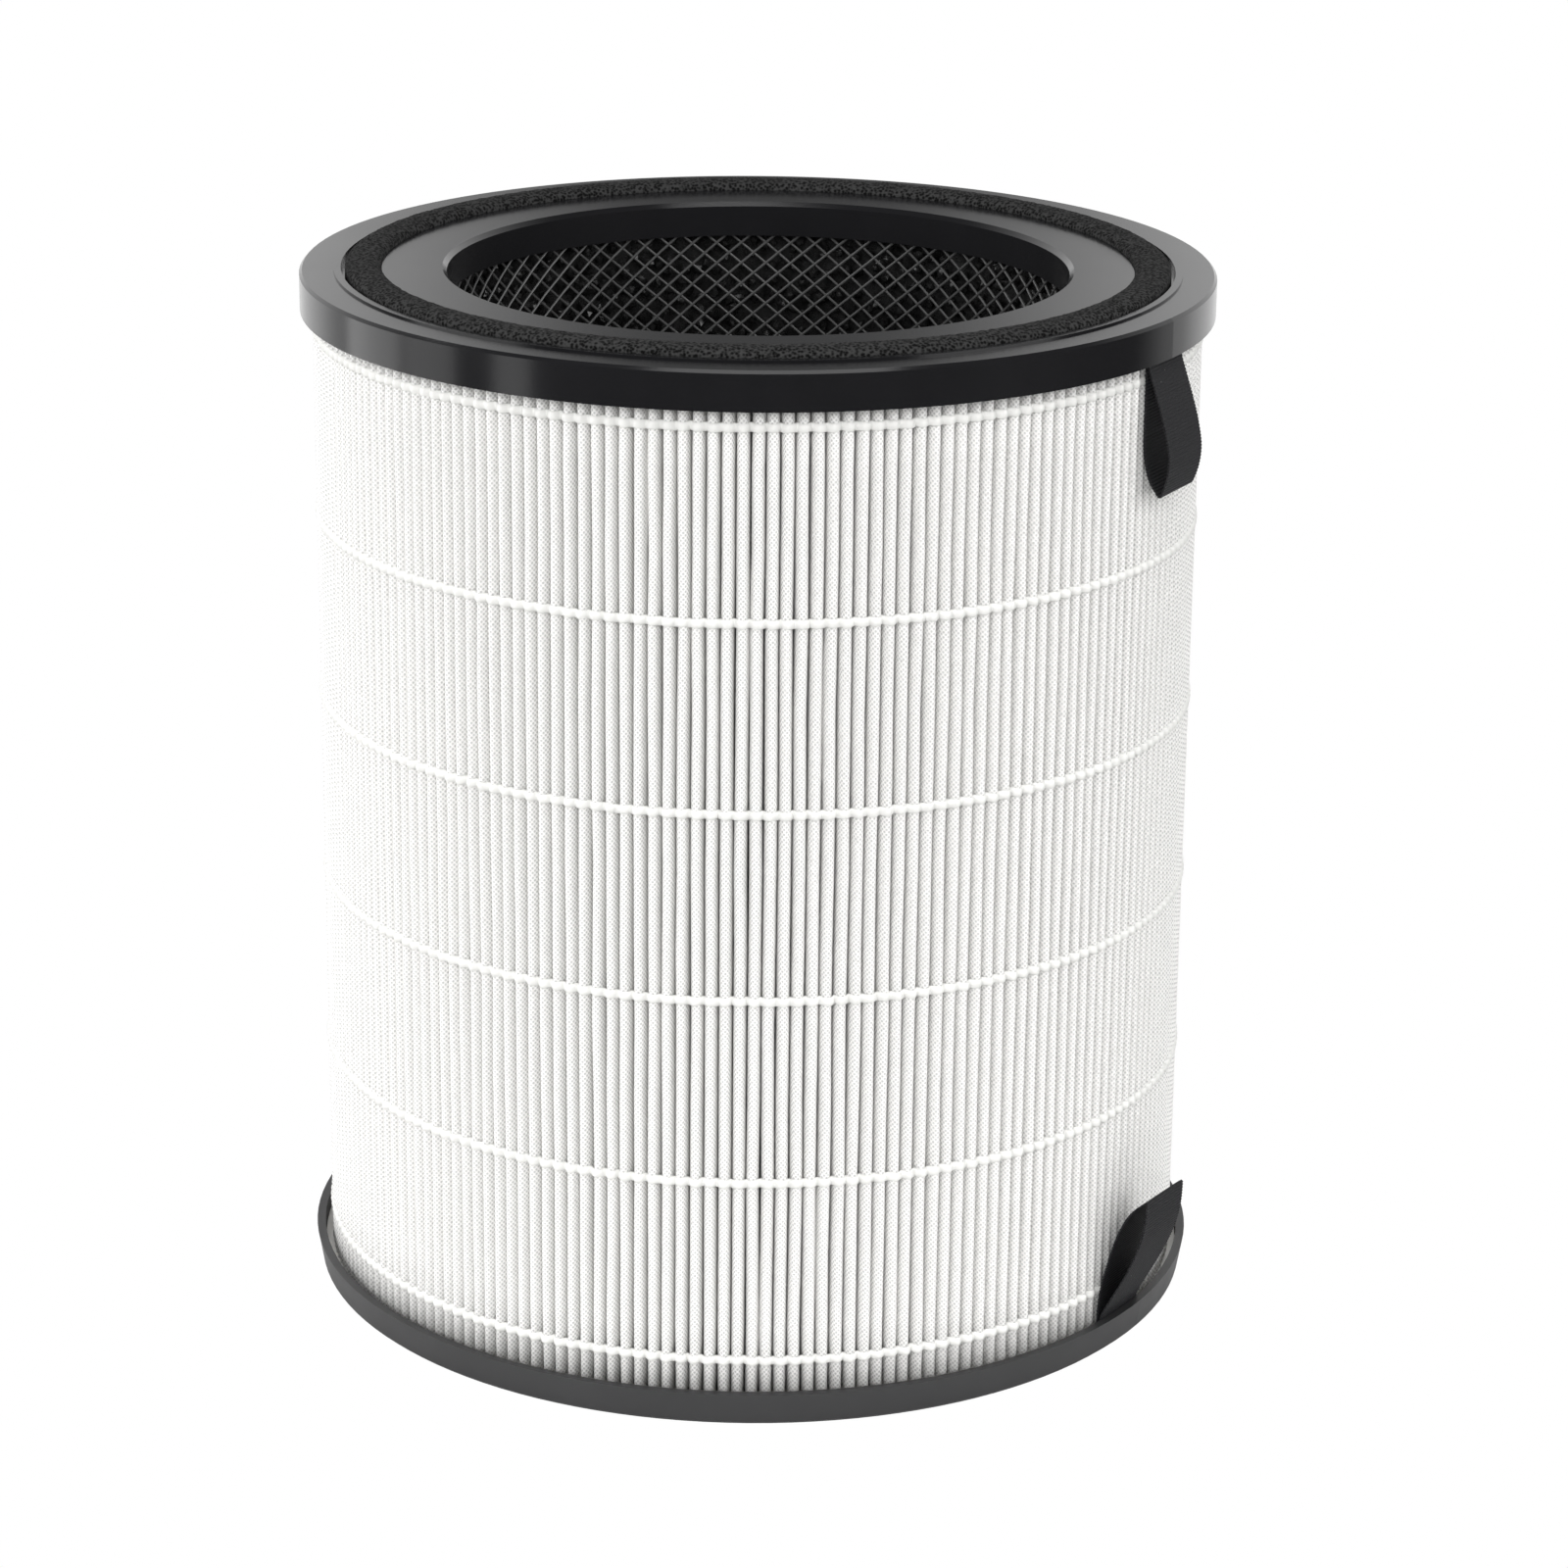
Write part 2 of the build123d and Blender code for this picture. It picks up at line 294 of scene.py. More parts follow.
class Tree:
    """A Geometry Nodes tree that makes one piece, with named inputs."""

    def __init__(self, name):
        self.group = bpy.data.node_groups.new(name, "GeometryNodeTree")
        for way in ("INPUT", "OUTPUT"):
            self.group.interface.new_socket("Geometry", in_out=way, socket_type="NodeSocketGeometry")
        self.start = self.group.nodes.new("NodeGroupInput")
        self.end = self.group.nodes.new("NodeGroupOutput")
        self.sockets = {}
        self.values = {}

    def size(self, name, value):
        """A named input, whole or decimal as its value is."""
        kind = "NodeSocketInt" if isinstance(value, int) else "NodeSocketFloat"
        item = self.group.interface.new_socket(name, in_out="INPUT", socket_type=kind)
        self.sockets[name] = item.identifier
        self.values[item.identifier] = value
        return next(s for s in self.start.outputs if s.identifier == item.identifier)

    def link(self, source, socket):
        """Joins a socket to another, or sets it to a plain value."""
        if isinstance(source, bpy.types.NodeSocket):
            self.group.links.new(source, socket)
        else:
            socket.default_value = source

    def node(self, kind, settings=None, **inputs):
        """A node with its settings and its inputs, by name."""
        node = self.group.nodes.new(kind)
        for name, value in (settings or {}).items():
            setattr(node, name, value)
        for name, value in inputs.items():
            self.link(value, node.inputs[name.replace("_", " ")])
        return node

    def math(self, operation, first, second=None, third=None):
        """One step of arithmetic."""
        node = self.group.nodes.new("ShaderNodeMath")
        node.operation = operation
        for place, value in enumerate((first, second, third)):
            if value is not None:
                self.link(value, node.inputs[place])
        return node.outputs[0]

    def vector(self, x, y, z):
        """A vector of three values."""
        return self.node("ShaderNodeCombineXYZ", X=x, Y=y, Z=z).outputs[0]

    def finish(self, geometry, material):
        """Ends the tree with its instances made real and its material set."""
        real = self.node("GeometryNodeRealizeInstances", Geometry=geometry)
        painted = self.node("GeometryNodeSetMaterial", Geometry=real.outputs["Geometry"])
        painted.inputs["Material"].default_value = material
        self.group.links.new(painted.outputs["Geometry"], self.end.inputs[0])

    def piece(self, name, start=None):
        """A plain mesh object of what the tree makes, from a starting mesh if it needs one."""
        start = start or bpy.data.meshes.new(name + "_start")
        maker = bpy.data.objects.new(name + "_maker", start)
        bpy.context.scene.collection.objects.link(maker)
        modifier = maker.modifiers.new("make", "NODES")
        modifier.node_group = self.group
        for identifier, value in self.values.items():
            modifier[identifier] = value
        graph = bpy.context.evaluated_depsgraph_get()
        mesh = bpy.data.meshes.new_from_object(maker.evaluated_get(graph))
        mesh.name = name
        bpy.data.objects.remove(maker)
        made = bpy.data.objects.new(name, mesh)
        bpy.context.scene.collection.objects.link(made)
        return made


def around(tree, angle, radius, height):
    """The point at this angle, radius and height."""
    x = tree.math("MULTIPLY", radius, tree.math("COSINE", angle))
    y = tree.math("MULTIPLY", radius, tree.math("SINE", angle))
    return tree.vector(x, y, height)


def stand_for(piece, slot, *nodes):
    """Puts a finished piece in the place of CAD nodes, on the filter's one body."""
    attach(piece, "root")
    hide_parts(*nodes)


def mesh_of(name, vertices, faces, uv_name=None, uvs=None):
    """A mesh of these vertices and faces, with one UV for each vertex if uvs are given."""
    mesh = bpy.data.meshes.new(name)
    mesh.from_pydata(vertices, [], faces)
    if uvs is not None:
        layer = mesh.uv_layers.new(name=uv_name)
        for loop in mesh.loops:
            layer.data[loop.index].uv = uvs[loop.vertex_index]
    mesh.update()
    return mesh


def shade(piece, smooth):
    """Smooth or flat shading on every face of a piece."""
    piece.data.polygons.foreach_set("use_smooth", [smooth] * len(piece.data.polygons))
    piece.data.update()


# Pleated sheet

FOLD_STEPS = 3
PLEAT_ROOT = SLEEVE_OUTER + 0.2 * MILLIMETRE
SHEET_ROWS = 13
# Half widths and depths of a plump tip, for the sheet's outer and inner face, in millimetres
OUTER_TIP = [(0.0, 0.0), (0.5, 0.15), (1.05, 0.8), (1.55, 2.2), (1.75, 4.0)]
INNER_TIP = [(0.0, 0.5), (0.15, 0.6), (0.55, 1.05), (1.05, 2.3), (1.25, 4.0)]
OUTER_ROOT_FOLD = 0.2 * MILLIMETRE
INNER_ROOT_FOLD = 0.7 * MILLIMETRE


def half_pleat(tip, root, root_round):
    """One side of a pleat, from its plump tip to its rounded root, as (angle, radius)."""
    half_angle = math.pi / PLEAT_COUNT
    turns = [math.radians(90.0) * step / FOLD_STEPS for step in range(FOLD_STEPS, -1, -1)]
    tip_side = [(width * MILLIMETRE / (PLEAT_TIP - depth * MILLIMETRE),
                 PLEAT_TIP - depth * MILLIMETRE) for width, depth in tip]
    root_fold = [(half_angle - root_round * math.sin(turn) / root,
                  root + root_round * (1 - math.cos(turn))) for turn in turns]
    return tip_side + root_fold


def one_pleat():
    """A single pleat of the sheet, with its outer and inner faces, as a mesh with UVs."""
    outer = half_pleat(OUTER_TIP, PLEAT_ROOT + MEDIA_THICKNESS, OUTER_ROOT_FOLD)
    inner = half_pleat(INNER_TIP, PLEAT_ROOT, INNER_ROOT_FOLD)
    vertices, faces, uvs = [], [], []
    heights = [MEDIA_BOTTOM + (MEDIA_TOP - MEDIA_BOTTOM) * row / SHEET_ROWS
               for row in range(SHEET_ROWS + 1)]
    sides = []
    for half in (outer, inner):
        across = [(-angle, radius) for angle, radius in reversed(half)] + half[1:]
        first = len(vertices)
        for height in heights:
            travel = 0.0
            before = across[0]
            for angle, radius in across:
                travel += math.hypot(radius - before[1], radius * (angle - before[0]))
                before = (angle, radius)
                vertices.append((radius * math.cos(angle), radius * math.sin(angle), height))
                uvs.append((travel, height))
        wide = len(across)
        sides.append((first, wide))
        for row in range(SHEET_ROWS):
            for column in range(wide - 1):
                corner = first + row * wide + column
                face = (corner, corner + 1, corner + wide + 1, corner + wide)
                faces.append(face if half is outer else tuple(reversed(face)))
    (outer_first, wide), (inner_first, _) = sides
    top = SHEET_ROWS * wide
    for column in range(wide - 1):
        low = (outer_first + column, outer_first + column + 1)
        low_inside = (inner_first + column, inner_first + column + 1)
        faces.append((low[1], low[0], low_inside[0], low_inside[1]))
        faces.append((low[0] + top, low[1] + top, low_inside[1] + top, low_inside[0] + top))
    return mesh_of("one_pleat", vertices, faces, "sheet", uvs)


def pleated_sheet(material):
    """The pleat copied round the axis, with tips that wander a little between the beads."""
    tree = Tree("pleats_round_axis")
    count = tree.size("Pleats", PLEAT_COUNT)
    wander = tree.size("Tip wander", 0.32 * MILLIMETRE)
    seed = tree.size("Seed", 3.0)
    line = tree.node("GeometryNodeMeshLine", Count=count)
    line.inputs["Offset"].default_value = (0.0, 0.0, 0.0)
    index = tree.node("GeometryNodeInputIndex").outputs[0]
    turn = tree.math("MULTIPLY", tree.math("DIVIDE", index, count), 2.0 * math.pi)
    placed = tree.node("GeometryNodeInstanceOnPoints", Points=line.outputs["Mesh"],
                       Instance=tree.start.outputs["Geometry"],
                       Rotation=tree.vector(0.0, 0.0, turn))
    marked = tree.node("GeometryNodeStoreNamedAttribute",
                       {"data_type": "FLOAT", "domain": "INSTANCE"},
                       Geometry=placed.outputs["Instances"], Name="pleat", Value=index)
    real = tree.node("GeometryNodeRealizeInstances", Geometry=marked.outputs["Geometry"])
    pleat = tree.node("GeometryNodeInputNamedAttribute", {"data_type": "FLOAT"}, Name="pleat")
    place = tree.node("ShaderNodeSeparateXYZ",
                      Vector=tree.node("GeometryNodeInputPosition").outputs[0])
    x, y, z = place.outputs
    radius = tree.math("SQRT", tree.math("ADD", tree.math("MULTIPLY", x, x),
                                         tree.math("MULTIPLY", y, y)))
    reach = tree.math("DIVIDE", tree.math("SUBTRACT", radius, PLEAT_ROOT), PLEAT_TIP - PLEAT_ROOT)
    held = tree.math("MAXIMUM", reach, 0.0)
    jitter = tree.node("ShaderNodeTexNoise", {"noise_dimensions": "3D"}, Scale=1.0, Detail=1.0,
                       Vector=tree.vector(tree.math("MULTIPLY", pleat.outputs[0], 7.31),
                                          tree.math("MULTIPLY", z, 22.0), seed))
    sway = tree.math("MULTIPLY", tree.math("SUBTRACT", jitter.outputs["Fac"], 0.5), wander)
    push = tree.math("MULTIPLY", tree.math("MULTIPLY", sway, 4.0), held)
    moved = tree.node("GeometryNodeSetPosition", Geometry=real.outputs["Geometry"],
                      Offset=tree.vector(
                          tree.math("MULTIPLY", push, tree.math("DIVIDE", y, tree.math("MULTIPLY", radius, -1.0))),
                          tree.math("MULTIPLY", push, tree.math("DIVIDE", x, radius)), 0.0))
    joined = tree.node("GeometryNodeMergeByDistance", Geometry=moved.outputs["Geometry"],
                       Distance=0.01 * MILLIMETRE)
    tree.finish(joined.outputs["Geometry"], material)
    sheet = tree.piece("pleated_sheet", one_pleat())
    shade(sheet, True)
    stand_for(sheet, "filter_media", "pleated_media")


# Glue beads

def bead(number, material):
    """One bead of glue: a wavy string that lies on each pleat tip and dips between them."""
    low, high = heights_of(f"spacer_bead_{number}")
    tree = Tree(f"bead_{number}_tree")
    middle = tree.size("Height", 0.5 * (low + high))
    seed = tree.size("Seed", float(number))
    circle = tree.node("GeometryNodeCurvePrimitiveCircle", Resolution=PLEAT_COUNT * 8)
    circle.inputs["Radius"].default_value = 1.0
    index = tree.node("GeometryNodeInputIndex").outputs[0]
    turn = tree.math("MULTIPLY", index, 2.0 * math.pi / (PLEAT_COUNT * 8))
    swing = tree.math("COSINE", tree.math("MULTIPLY", turn, float(PLEAT_COUNT)))
    sink = tree.math("MULTIPLY", tree.math("SUBTRACT", 1.0, swing), 0.5)
    patch = tree.node("ShaderNodeTexNoise", {"noise_dimensions": "3D"}, Scale=1.0, Detail=2.0,
                      Vector=tree.vector(tree.math("MULTIPLY", tree.math("COSINE", turn), 60.0),
                                         tree.math("MULTIPLY", tree.math("SINE", turn), 60.0), seed))
    uneven = tree.math("SUBTRACT", patch.outputs["Fac"], 0.5)
    dip = tree.math("MULTIPLY", sink, tree.math("ADD", 1.5 * MILLIMETRE,
                    tree.math("MULTIPLY", uneven, 1.6 * MILLIMETRE)))
    radius = tree.math("SUBTRACT", PLEAT_TIP - 0.1 * MILLIMETRE, dip)
    height = tree.math("ADD", middle, tree.math("MULTIPLY", uneven, 0.9 * MILLIMETRE))
    line = tree.node("GeometryNodeSetPosition", Geometry=circle.outputs["Curve"],
                     Position=around(tree, turn, radius, height))
    section = tree.node("GeometryNodeCurvePrimitiveCircle", Resolution=8)
    section.inputs["Radius"].default_value = 1.0
    flat = tree.node("GeometryNodeTransform", Geometry=section.outputs["Curve"])
    flat.inputs["Scale"].default_value = (0.6 * MILLIMETRE, 1.3 * MILLIMETRE, 1.0)
    upright = tree.node("GeometryNodeSetCurveNormal", {"mode": "Z_UP"},
                        Curve=line.outputs["Geometry"])
    string = tree.node("GeometryNodeCurveToMesh", Curve=upright.outputs["Curve"],
                       Profile_Curve=flat.outputs["Geometry"])
    tree.finish(string.outputs["Mesh"], material)
    piece = tree.piece(f"glue_bead_{number}")
    shade(piece, True)
    stand_for(piece, "glue_beads", f"spacer_bead_{number}")


# Inner net and the carbon behind it

def net(material):
    """Two families of round strands, wound opposite ways and joined where they cross."""
    tree = Tree("net_strands")
    count = tree.size("Strands each way", NET_STRANDS)
    strand = 0.42 * MILLIMETRE
    rise = MEDIA_TOP - MEDIA_BOTTOM
    middle = NET_OUTER - 0.5 * NET_THICKNESS
    lean = math.radians(40.0)
    rotations = rise / math.tan(lean) / (2.0 * math.pi * middle)
    section = tree.node("GeometryNodeCurvePrimitiveCircle", Resolution=5)
    section.inputs["Radius"].default_value = strand
    line = tree.node("GeometryNodeMeshLine", Count=count)
    line.inputs["Offset"].default_value = (0.0, 0.0, 0.0)
    index = tree.node("GeometryNodeInputIndex").outputs[0]
    turn = tree.math("MULTIPLY", tree.math("DIVIDE", index, count), 2.0 * math.pi)
    families = tree.node("GeometryNodeJoinGeometry")
    for inward, backwards in ((0.14 * MILLIMETRE, False), (-0.14 * MILLIMETRE, True)):
        helix = tree.node("GeometryNodeCurveSpiral", Resolution=56)
        helix.inputs["Rotations"].default_value = rotations
        helix.inputs["Start Radius"].default_value = middle - inward
        helix.inputs["End Radius"].default_value = middle - inward
        helix.inputs["Height"].default_value = rise
        helix.inputs["Reverse"].default_value = backwards
        tube = tree.node("GeometryNodeCurveToMesh", Curve=helix.outputs["Curve"],
                         Profile_Curve=section.outputs["Curve"])
        copies = tree.node("GeometryNodeInstanceOnPoints", Points=line.outputs["Mesh"],
                           Instance=tube.outputs["Mesh"], Rotation=tree.vector(0.0, 0.0, turn))
        tree.group.links.new(copies.outputs["Instances"], families.inputs["Geometry"])
    lifted = tree.node("GeometryNodeTransform", Geometry=families.outputs["Geometry"])
    lifted.inputs["Translation"].default_value = (0.0, 0.0, MEDIA_BOTTOM)
    tree.finish(lifted.outputs["Geometry"], material)
    piece = tree.piece("diamond_net")
    shade(piece, True)
    stand_for(piece, "net_plastic", "inner_net")


def carbon(material):
    """Crushed granules packed against the net, in front of the rest of the bed."""
    tree = Tree("granules")
    size = tree.size("Granule size", 1.75 * MILLIMETRE)
    seed = tree.size("Seed", 11)
    face_radius = NET_OUTER + 2.0 * MILLIMETRE
    wall = tree.node("GeometryNodeMeshCylinder", {"fill_type": "NONE"}, Vertices=128)
    wall.inputs["Radius"].default_value = face_radius
    wall.inputs["Depth"].default_value = MEDIA_TOP - MEDIA_BOTTOM - 3.0 * MILLIMETRE
    lifted = tree.node("GeometryNodeTransform", Geometry=wall.outputs["Mesh"])
    lifted.inputs["Translation"].default_value = (0.0, 0.0, 0.5 * (MEDIA_TOP + MEDIA_BOTTOM))
    spread = tree.node("GeometryNodeDistributePointsOnFaces", {"distribute_method": "POISSON"},
                       Mesh=lifted.outputs["Geometry"], Seed=seed)
    spread.inputs["Distance Min"].default_value = 2.7 * MILLIMETRE
    spread.inputs["Density Max"].default_value = 140000.0
    stone = tree.node("GeometryNodeMeshIcoSphere", Subdivisions=1, Radius=size)
    squash = tree.node("FunctionNodeRandomValue", {"data_type": "FLOAT_VECTOR"}, Seed=seed)
    squash.inputs["Min"].default_value = (0.6, 0.6, 0.6)
    squash.inputs["Max"].default_value = (1.2, 1.15, 1.0)
    tumble = tree.node("FunctionNodeRandomValue", {"data_type": "FLOAT_VECTOR"}, Seed=7)
    tumble.inputs["Max"].default_value = (6.28, 6.28, 6.28)
    stones = tree.node("GeometryNodeInstanceOnPoints", Points=spread.outputs["Points"],
                       Instance=stone.outputs["Mesh"], Rotation=tumble.outputs["Value"],
                       Scale=squash.outputs["Value"])
    real = tree.node("GeometryNodeRealizeInstances", Geometry=stones.outputs["Instances"])
    chip = tree.node("ShaderNodeTexNoise", Scale=900.0, Detail=1.0,
                     Vector=tree.node("GeometryNodeInputPosition").outputs[0])
    centred = tree.node("ShaderNodeVectorMath", {"operation": "SUBTRACT"})
    tree.group.links.new(chip.outputs["Color"], centred.inputs[0])
    centred.inputs[1].default_value = (0.5, 0.5, 0.5)
    scaled = tree.node("ShaderNodeVectorMath", {"operation": "SCALE"})
    tree.group.links.new(centred.outputs[0], scaled.inputs[0])
    scaled.inputs["Scale"].default_value = 1.6 * MILLIMETRE
    broken = tree.node("GeometryNodeSetPosition", Geometry=real.outputs["Geometry"],
                       Offset=scaled.outputs[0])
    whole = tree.node("GeometryNodeJoinGeometry")
    for part in (broken.outputs["Geometry"], tree.start.outputs["Geometry"]):
        tree.group.links.new(part, whole.inputs["Geometry"])
    tree.finish(whole.outputs["Geometry"], material)
    inner = face_radius + 1.2 * MILLIMETRE
    outline = [(inner, MEDIA_BOTTOM), (CARBON_OUTER, MEDIA_BOTTOM),
               (CARBON_OUTER, MEDIA_TOP), (inner, MEDIA_TOP)]
    piece = tree.piece("carbon_granules", turned("packed_bed", outline, 96))
    shade(piece, False)
    stand_for(piece, "carbon_granules", "carbon_bed")


def turned(name, outline, steps):
    """A closed ring: a section of (radius, height) points, counter-clockwise, turned about Z."""
    wide = len(outline)
    vertices = []
    for step in range(steps):
        angle = 2.0 * math.pi * step / steps
        vertices += [(radius * math.cos(angle), radius * math.sin(angle), height)
                     for radius, height in outline]
    faces = []
    for step in range(steps):
        here, there = step * wide, (step + 1) % steps * wide
        for k in range(wide):
            after = (k + 1) % wide
            faces.append((here + k, there + k, there + after, here + after))
    return mesh_of(name, vertices, faces)


# Gasket

def gasket(material):
    """A ring of foam with a domed top and a grainy skin."""
    width, rise = GASKET_WIDTH, GASKET_TOP - GASKET_BOTTOM
    middle = GASKET_OUTER - 0.5 * width
    shoulder = 0.45 * rise
    dome = [(middle + 0.5 * width * math.cos(turn),
             GASKET_BOTTOM + shoulder + (rise - shoulder) * math.sin(turn) ** 0.8)
            for turn in (math.pi * step / 14 for step in range(15))]
    outline = [(middle - 0.5 * width, GASKET_BOTTOM), (middle + 0.5 * width, GASKET_BOTTOM)] + dome
    mesh = turned("gasket_ring", outline, 900)
    for vertex in mesh.vertices:
        place = vertex.co
        if place.z > GASKET_BOTTOM + 0.1 * MILLIMETRE:
            grain = mathutils.noise.noise(place * 700.0) + 0.6 * mathutils.noise.noise(place * 1700.0)
            vertex.co.z -= 0.22 * MILLIMETRE * (1.0 + grain)
    piece = bpy.data.objects.new("foam_ring", mesh)
    bpy.context.scene.collection.objects.link(piece)
    mesh.materials.append(material)
    shade(piece, True)
    stand_for(piece, "gasket_foam", "foam_gasket")


# Pull tabs

RIBBON_WIDTH = 20.0 * MILLIMETRE
RIBBON_THICKNESS = 0.5 * MILLIMETRE
RIB_PITCH = 0.9 * MILLIMETRE
ACROSS = 14
FOLD_SOFTENING = 3


def through(points, steps=24):
    """A smooth curve through every point."""
    ends = [points[0]] + points + [points[-1]]
    line = []
    for a, b, c, d in zip(ends, ends[1:], ends[2:], ends[3:]):
        for t in (step / steps for step in range(steps)):
            line.append(tuple(
                0.5 * (2 * q + (r - p) * t + (2 * p - 5 * q + 4 * r - u) * t * t
                       + (3 * q - p - 3 * r + u) * t ** 3)
                for p, q, r, u in zip(a, b, c, d)))
    return line + [points[-1]]


def smooth_line(points, fold, spacing):
    """The route as evenly spaced points on two smooth legs that meet in a tight rounded fold."""
    line = through(points[:fold + 1]) + through(points[fold:])[1:]
    even = [line[0]]
    left = spacing
    for before, after in zip(line, line[1:]):
        run = math.dist(before, after)
        while left <= run:
            part = left / run
            even.append(tuple(a + part * (b - a) for a, b in zip(before, after)))
            left += spacing
        left -= run
    for _ in range(FOLD_SOFTENING):
        even[1:-1] = [tuple(0.25 * a + 0.5 * b + 0.25 * c for a, b, c in zip(*near))
                      for near in zip(even, even[1:], even[2:])]
    return even


def ribbon(name, node, points, fold, turn, material):
    """A ribbon along the route, with ribs that show at its edges, turned about the axis."""
    line = smooth_line(points, fold, 0.5 * RIB_PITCH)
    vertices, uvs = [], []
    swing = mathutils.Matrix.Rotation(turn, 3, "Z")
    for k, (radius, height) in enumerate(line):
        before, after = line[max(k - 1, 0)], line[min(k + 1, len(line) - 1)]
        along = (after[0] - before[0], after[1] - before[1])
        run = math.hypot(*along) or 1.0
        normal = (along[1] / run, -along[0] / run)
        ridge = 0.2 * MILLIMETRE if k % 2 else 0.0
        half = 0.5 * RIBBON_WIDTH - ridge
        thick = 0.5 * RIBBON_THICKNESS - 0.35 * ridge
        for side in (1.0, -1.0):
            for column in range(ACROSS + 1):
                y = side * half * (1.0 - 2.0 * column / ACROSS)
                place = mathutils.Vector((radius + side * thick * normal[0], y,
                                          height + side * thick * normal[1]))
                vertices.append(swing @ place)
                uvs.append((y, k * 0.5 * RIB_PITCH))
    wide = 2 * (ACROSS + 1)
    faces = [tuple(reversed(range(wide)))]
    for k in range(len(line) - 1):
        for column in range(wide):
            after = (column + 1) % wide
            faces.append((k * wide + column, k * wide + after,
                          (k + 1) * wide + after, (k + 1) * wide + column))
    faces.append(tuple(range((len(line) - 1) * wide, len(line) * wide)))
    mesh = mesh_of(name, vertices, faces, "ribbon", uvs)
    piece = bpy.data.objects.new(name, mesh)
    bpy.context.scene.collection.objects.link(piece)
    mesh.materials.append(material)
    shade(piece, False)
    stand_for(piece, "ribbon", node)


INNER_LAYER = 122.26 * MILLIMETRE
OUTER_LAYER = INNER_LAYER + 0.6 * MILLIMETRE
UPPER_END = MEDIA_TOP - 0.3 * MILLIMETRE
LOWER_END = MEDIA_BOTTOM + 0.3 * MILLIMETRE
UPPER_DROP = 35.6 * MILLIMETRE
UPPER_BULGE = 7.4 * MILLIMETRE
LOWER_RISE = 38.6 * MILLIMETRE
LOWER_REACH = 14.4 * MILLIMETRE
LOWER_TURN = math.radians(-4.1)


def route(start, low, drop, reach, legs):
    """Points of a tab's middle line, from (part of the reach, part of the height) steps."""
    return [start] + [(INNER_LAYER + part * reach, low + height * drop) for part, height in legs]


def upper_route():
    """The upper tab's middle line: down the pleats, round the fold and back up."""
    legs = [(0.0, -0.02), (0.0, -0.30), (0.0, -0.52), (0.03, -0.68), (0.25, -0.87), (0.68, -1.0),
            (0.92, -0.86), (1.0, -0.70), (0.85, -0.52), (0.60, -0.34), (0.30, -0.16), (0.09, -0.02)]
    return (route((INNER_LAYER, UPPER_END), SKIRT_BOTTOM, UPPER_DROP, UPPER_BULGE, legs)
            + [(OUTER_LAYER, UPPER_END)])


def lower_route():
    """The lower tab's middle line: up and away from the pleats, round the fold and back."""
    legs = [(0.0, 0.05), (0.06, 0.25), (0.20, 0.46), (0.38, 0.68), (0.64, 0.87), (1.0, 1.0),
            (0.97, 0.82), (0.86, 0.64), (0.62, 0.42), (0.30, 0.19), (0.08, 0.03)]
    return (route((INNER_LAYER, LOWER_END), BASE_TOP, LOWER_RISE, LOWER_REACH, legs)
            + [(OUTER_LAYER, LOWER_END)])


# Camera, floor and light

CAMERA_DISTANCE = 1.27035
CAMERA_HEIGHT = 0.56305
CAMERA_AZIMUTH = math.radians(29.8)
CAMERA_YAW = 0.0066
CAMERA_PITCH = 0.3219
CAMERA_ROLL = -0.0099
CAMERA_LENS = 108.54


def camera():
    """The photograph's view: 29.8 degrees round from the front, looking down on the cap."""
    around_axis = mathutils.Matrix.Rotation(CAMERA_AZIMUTH, 3, "Z")
    place = around_axis @ mathutils.Vector((0.0, -CAMERA_DISTANCE, CAMERA_HEIGHT))
    forward = mathutils.Vector((math.sin(CAMERA_YAW) * math.cos(CAMERA_PITCH),
                                math.cos(CAMERA_YAW) * math.cos(CAMERA_PITCH),
                                -math.sin(CAMERA_PITCH)))
    level = mathutils.Vector((math.cos(CAMERA_YAW), -math.sin(CAMERA_YAW), 0.0))
    down = forward.cross(level)
    right = math.cos(CAMERA_ROLL) * level + math.sin(CAMERA_ROLL) * down
    back = -forward
    up = back.cross(right)
    turn = around_axis @ mathutils.Matrix((right, up, back)).transposed()
    data = bpy.data.cameras.new("camera")
    data.lens = CAMERA_LENS
    data.sensor_width = 36.0
    eye = bpy.data.objects.new("camera", data)
    eye.matrix_world = mathutils.Matrix.Translation(place) @ turn.to_4x4()
    bpy.context.scene.collection.objects.link(eye)
    bpy.context.scene.camera = eye


def floor():
    """A plain pale round table top."""
    steps, radius = 96, 0.5
    rim = [(radius * math.cos(2.0 * math.pi * k / steps), radius * math.sin(2.0 * math.pi * k / steps),
            0.0) for k in range(steps)]
    mesh = mesh_of("floor", rim, [tuple(range(steps))])
    piece = bpy.data.objects.new("floor", mesh)
    bpy.context.scene.collection.objects.link(piece)
    material, tree = new_material("floor_paint")
    tree.nodes.remove(surface(tree))
    out = tree.nodes["Material Output"]
    paint = add(tree, "ShaderNodeBsdfDiffuse", Color=(0.72, 0.72, 0.72, 1.0))
    glow = add(tree, "ShaderNodeEmission", Color=(1.0, 1.0, 1.0, 1.0), Strength=1.0)
    rays = tree.nodes.new("ShaderNodeLightPath")
    mix = tree.nodes.new("ShaderNodeMixShader")
    tree.links.new(rays.outputs["Is Camera Ray"], mix.inputs["Fac"])
    tree.links.new(paint.outputs["BSDF"], mix.inputs[1])
    tree.links.new(glow.outputs["Emission"], mix.inputs[2])
    tree.links.new(mix.outputs["Shader"], out.inputs["Surface"])
    mesh.materials.append(material)


BACKDROP_LIGHT = 1.1
FRONT_DARK = 0.03


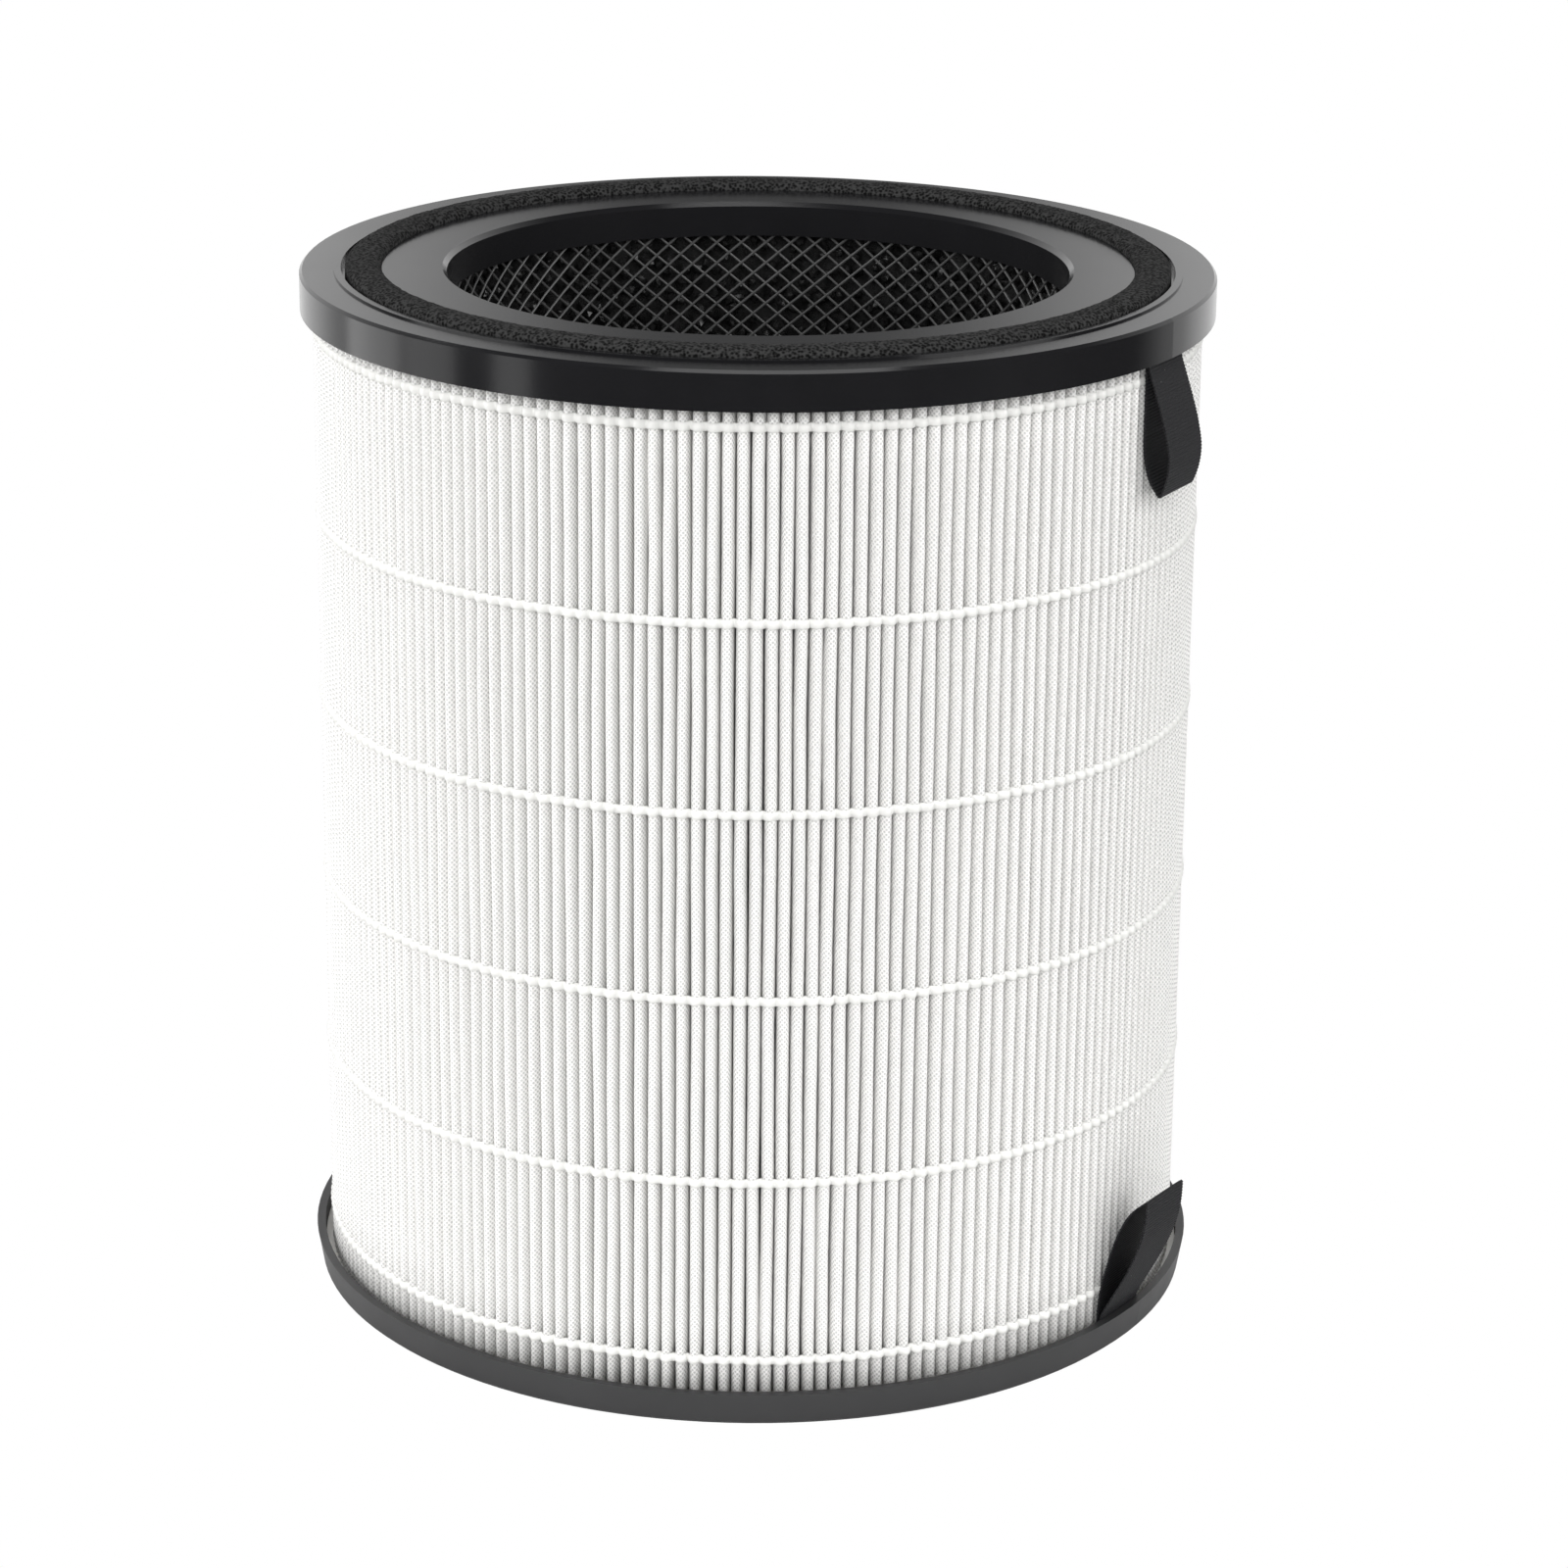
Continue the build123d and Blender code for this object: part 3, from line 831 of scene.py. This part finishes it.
def world():
    """A studio that is dark in front and bright behind, with a dimmer strip in the middle."""
    made = bpy.data.worlds.new("studio")
    bpy.context.scene.world = made
    made.use_nodes = True
    tree = made.node_tree
    direction = tree.nodes.new("ShaderNodeTexCoord").outputs["Generated"]
    facing = tree.nodes.new("ShaderNodeVectorMath")
    facing.operation = "DOT_PRODUCT"
    tree.links.new(direction, facing.inputs[0])
    facing.inputs[1].default_value = (-math.sin(CAMERA_AZIMUTH), math.cos(CAMERA_AZIMUTH), 0.0)
    level = add(tree, "ShaderNodeMapRange", From_Min=0.30, From_Max=0.75, To_Min=FRONT_DARK,
                To_Max=BACKDROP_LIGHT)
    tree.links.new(facing.outputs["Value"], level.inputs["Value"])
    aside = tree.nodes.new("ShaderNodeVectorMath")
    aside.operation = "DOT_PRODUCT"
    tree.links.new(direction, aside.inputs[0])
    aside.inputs[1].default_value = (math.cos(CAMERA_AZIMUTH), math.sin(CAMERA_AZIMUTH), 0.0)
    distance = tree.nodes.new("ShaderNodeMath")
    distance.operation = "ABSOLUTE"
    tree.links.new(aside.outputs["Value"], distance.inputs[0])
    seam = add(tree, "ShaderNodeMapRange", From_Min=0.03, From_Max=0.11, To_Min=0.12, To_Max=1.0)
    tree.links.new(distance.outputs["Value"], seam.inputs["Value"])
    dimmed = tree.nodes.new("ShaderNodeMath")
    dimmed.operation = "MULTIPLY"
    tree.links.new(level.outputs["Result"], dimmed.inputs[0])
    tree.links.new(seam.outputs["Result"], dimmed.inputs[1])
    room = tree.nodes["Background"]
    room.inputs["Color"].default_value = (1.0, 1.0, 1.0, 1.0)
    tree.links.new(dimmed.outputs["Value"], room.inputs["Strength"])
    white = add(tree, "ShaderNodeBackground", Color=(1.0, 1.0, 1.0, 1.0), Strength=1.0)
    rays = tree.nodes.new("ShaderNodeLightPath")
    mix = tree.nodes.new("ShaderNodeMixShader")
    tree.links.new(rays.outputs["Is Camera Ray"], mix.inputs["Fac"])
    tree.links.new(room.outputs["Background"], mix.inputs[1])
    tree.links.new(white.outputs["Background"], mix.inputs[2])
    tree.links.new(mix.outputs["Shader"], tree.nodes["World Output"].inputs["Surface"])


def soft_box(name, azimuth, distance, height, size, brightness, aim, mirrored=True):
    """A rectangular lamp of this size and brightness, placed round the axis from the camera."""
    angle = CAMERA_AZIMUTH + math.radians(azimuth)
    place = mathutils.Vector((distance * math.sin(angle), -distance * math.cos(angle), height))
    data = bpy.data.lights.new(name, "AREA")
    data.shape = "RECTANGLE"
    data.size, data.size_y = size
    data.energy = brightness * math.pi * size[0] * size[1]
    lamp = bpy.data.objects.new(name, data)
    lamp.location = place
    toward = mathutils.Vector((0.0, 0.0, aim)) - place
    lamp.rotation_euler = toward.to_track_quat("-Z", "Y").to_euler()
    lamp.visible_camera = False
    lamp.visible_glossy = mirrored
    bpy.context.scene.collection.objects.link(lamp)


def lights():
    """A wide soft box round the camera, one above, one at each side, and three low strips."""
    soft_box("front_box", -14.0, 2.0, 0.95, (2.4, 1.5), 4.3, 0.12, mirrored=False)
    soft_box("top_box", 10.0, 0.7, 1.9, (1.2, 1.0), 2.2, 0.25)
    soft_box("left_box", -82.0, 1.4, 0.75, (1.0, 1.4), 3.4, 0.15)
    soft_box("right_box", 62.0, 1.4, 0.80, (1.1, 1.4), 3.4, 0.15)
    soft_box("far_left_strip", -106.0, 1.3, -0.1, (0.52, 0.6), 1.6, -0.1)
    soft_box("left_strip", -84.5, 1.3, -0.1, (0.38, 0.6), 1.1, -0.1)
    soft_box("thin_strip", -59.5, 1.3, -0.1, (0.23, 0.6), 1.3, -0.1)


def finish_caps():
    """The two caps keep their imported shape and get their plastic."""
    top = moulded_plastic("gloss_black_plastic", (0.010, 0.010, 0.011), 0.16, 0.02 * MILLIMETRE)
    base = moulded_plastic("satin_grey_plastic", (0.024, 0.024, 0.025), 0.42, 0.03 * MILLIMETRE)
    glue = hot_glue("set_glue", (0.84, 0.83, 0.80))
    cloth = nonwoven()
    for node, material in (("top_end_cap", top), ("bottom_end_cap", base),
                           ("top_adhesive", glue), ("bottom_adhesive", glue),
                           ("carbon_sleeve", cloth)):
        for place in frame["nodes"][node].material_slots:
            place.material = material


camera()
floor()
world()
lights()
finish_caps()
pleated_sheet(mesh_paper())
bead_glue = hot_glue("bead_glue", (0.74, 0.74, 0.72))
for bead_number in range(1, 7):
    bead(bead_number, bead_glue)
net(moulded_plastic("net_black_plastic", (0.07, 0.07, 0.07), 0.22, 0.02 * MILLIMETRE))
carbon(granule())
gasket(foam())
black_ribbon = grosgrain()
ribbon("upper_ribbon", "top_pull_tab", upper_route(), 6, 0.0, black_ribbon)
ribbon("lower_ribbon", "bottom_pull_tab", lower_route(), 6, LOWER_TURN, black_ribbon)

bpy.context.scene.view_settings.view_transform = "Standard"
